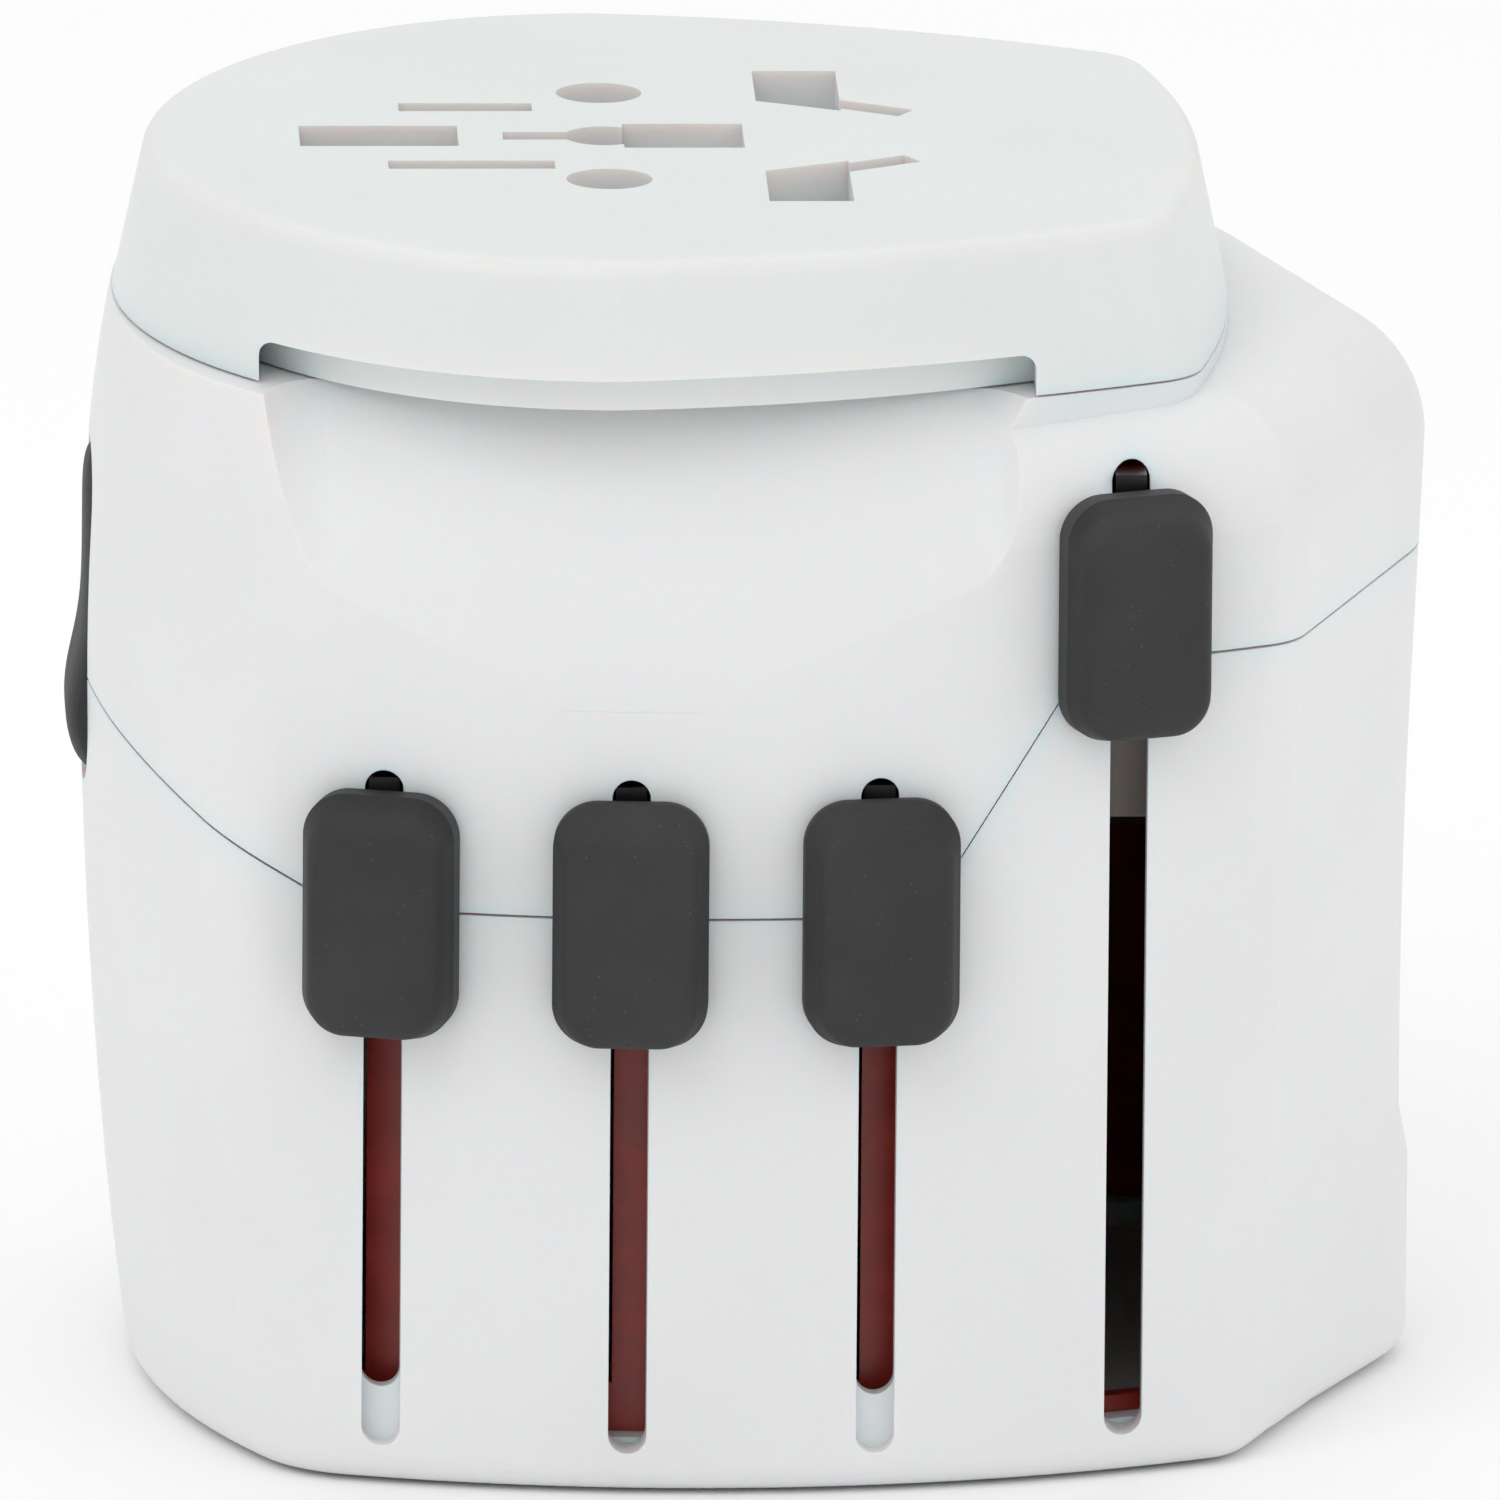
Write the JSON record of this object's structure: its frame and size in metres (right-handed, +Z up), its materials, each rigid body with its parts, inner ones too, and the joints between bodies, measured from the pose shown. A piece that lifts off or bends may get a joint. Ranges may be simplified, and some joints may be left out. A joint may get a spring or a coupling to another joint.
{
  "type": "universal travel adapter",
  "caption": "Pocket travel adapter: world socket pattern on top, sliding plug sets in the base pushed out by front buttons, side release lever.",
  "frame": {"origin": "on the base plane, under the centre of the two round socket holes", "axes": "+X towards the nose (the long way), +Y towards the back, +Z up out of the socket face; the buttons are on the -Y side"},
  "size_m": [0.0712, 0.0639, 0.0655],
  "materials": {
    "shell_white": "fine matt-satin moulded white",
    "head_white": "satin moulded white",
    "inner_white": "matt moulded white",
    "soft_black": "soft-touch charcoal",
    "frame_red": "dark red moulded plastic",
    "black_plastic": "black moulded plastic",
    "brass": "drawn brass",
    "nickel": "nickel-plated brass",
    "steel": "zinc-plated steel",
    "glass": "clear glass tube"
  },
  "bodies": {
    "housing": {"upper_housing": "shell_white", "lower_housing": "shell_white", "socket_head": "head_white", "base_plate": "shell_white", "guide_frame": "frame_red", "contact_carrier": "black_plastic", "line_contact": "brass", "neutral_contact": "brass", "earth_contact": "brass", "line_rail": "brass", "neutral_rail": "brass", "earth_rail": "brass", "housing_screws": "steel", "head_screws": "steel", "fuse_tube": "glass", "fuse_caps": "nickel", "fuse_clips": "brass", "release_pivot_pin": "steel", "latch_spring": "steel", "shutter_spring": "steel"},
    "us_set": {"us_button": "soft_black", "us_carriage": "black_plastic", "us_blades": "nickel", "us_earth_pin": "nickel"},
    "au_set": {"au_button": "soft_black", "au_carriage": "black_plastic", "au_blades": "nickel", "au_earth_blade": "nickel"},
    "eu_set": {"eu_button": "soft_black", "eu_carriage": "black_plastic", "eu_pins": "nickel", "eu_sleeves": "black_plastic", "eu_earth_pin": "nickel"},
    "uk_set": {"uk_button": "soft_black", "uk_carriage": "black_plastic", "uk_blades": "nickel", "uk_sleeves": "black_plastic", "uk_earth_blade": "nickel"},
    "lever": {"release_lever": "soft_black"},
    "latch": {"latch_bar": "black_plastic"},
    "shutter": {"socket_shutter": "inner_white"}
  },
  "joints": [
    {"name": "us_slide", "type": "slide", "parent": "housing", "child": "us_set", "axis": [0, 0, -1], "range_m": [0, 0.024]},
    {"name": "au_slide", "type": "slide", "parent": "housing", "child": "au_set", "axis": [0, 0, -1], "range_m": [0, 0.024]},
    {"name": "eu_slide", "type": "slide", "parent": "housing", "child": "eu_set", "axis": [0, 0, -1], "range_m": [0, 0.024]},
    {"name": "uk_slide", "type": "slide", "parent": "housing", "child": "uk_set", "axis": [0, 0, -1], "range_m": [0, 0.039]},
    {"name": "lever_press", "type": "hinge", "parent": "housing", "child": "lever", "pos_m": [-0.0243, 0, 0.046], "axis": [0, -1, 0], "range_deg": [0, 6], "stiffness_Nm_per_rad": 0.02, "springref_deg": -5.73},
    {"name": "latch_slide", "type": "slide", "parent": "housing", "child": "latch", "axis": [1, 0, 0], "range_m": [0, 0.0009], "deforming": ["latch_spring"]},
    {"name": "shutter_slide", "type": "slide", "parent": "housing", "child": "shutter", "axis": [1, 0, 0], "range_m": [0, 0.0045], "stiffness_N_per_m": 80, "springref_m": -0.001, "deforming": ["shutter_spring"]}
  ],
  "couplings": [
    {"joint": "latch_slide", "follows": "lever_press", "m_per_rad": 0.0077}
  ]
}
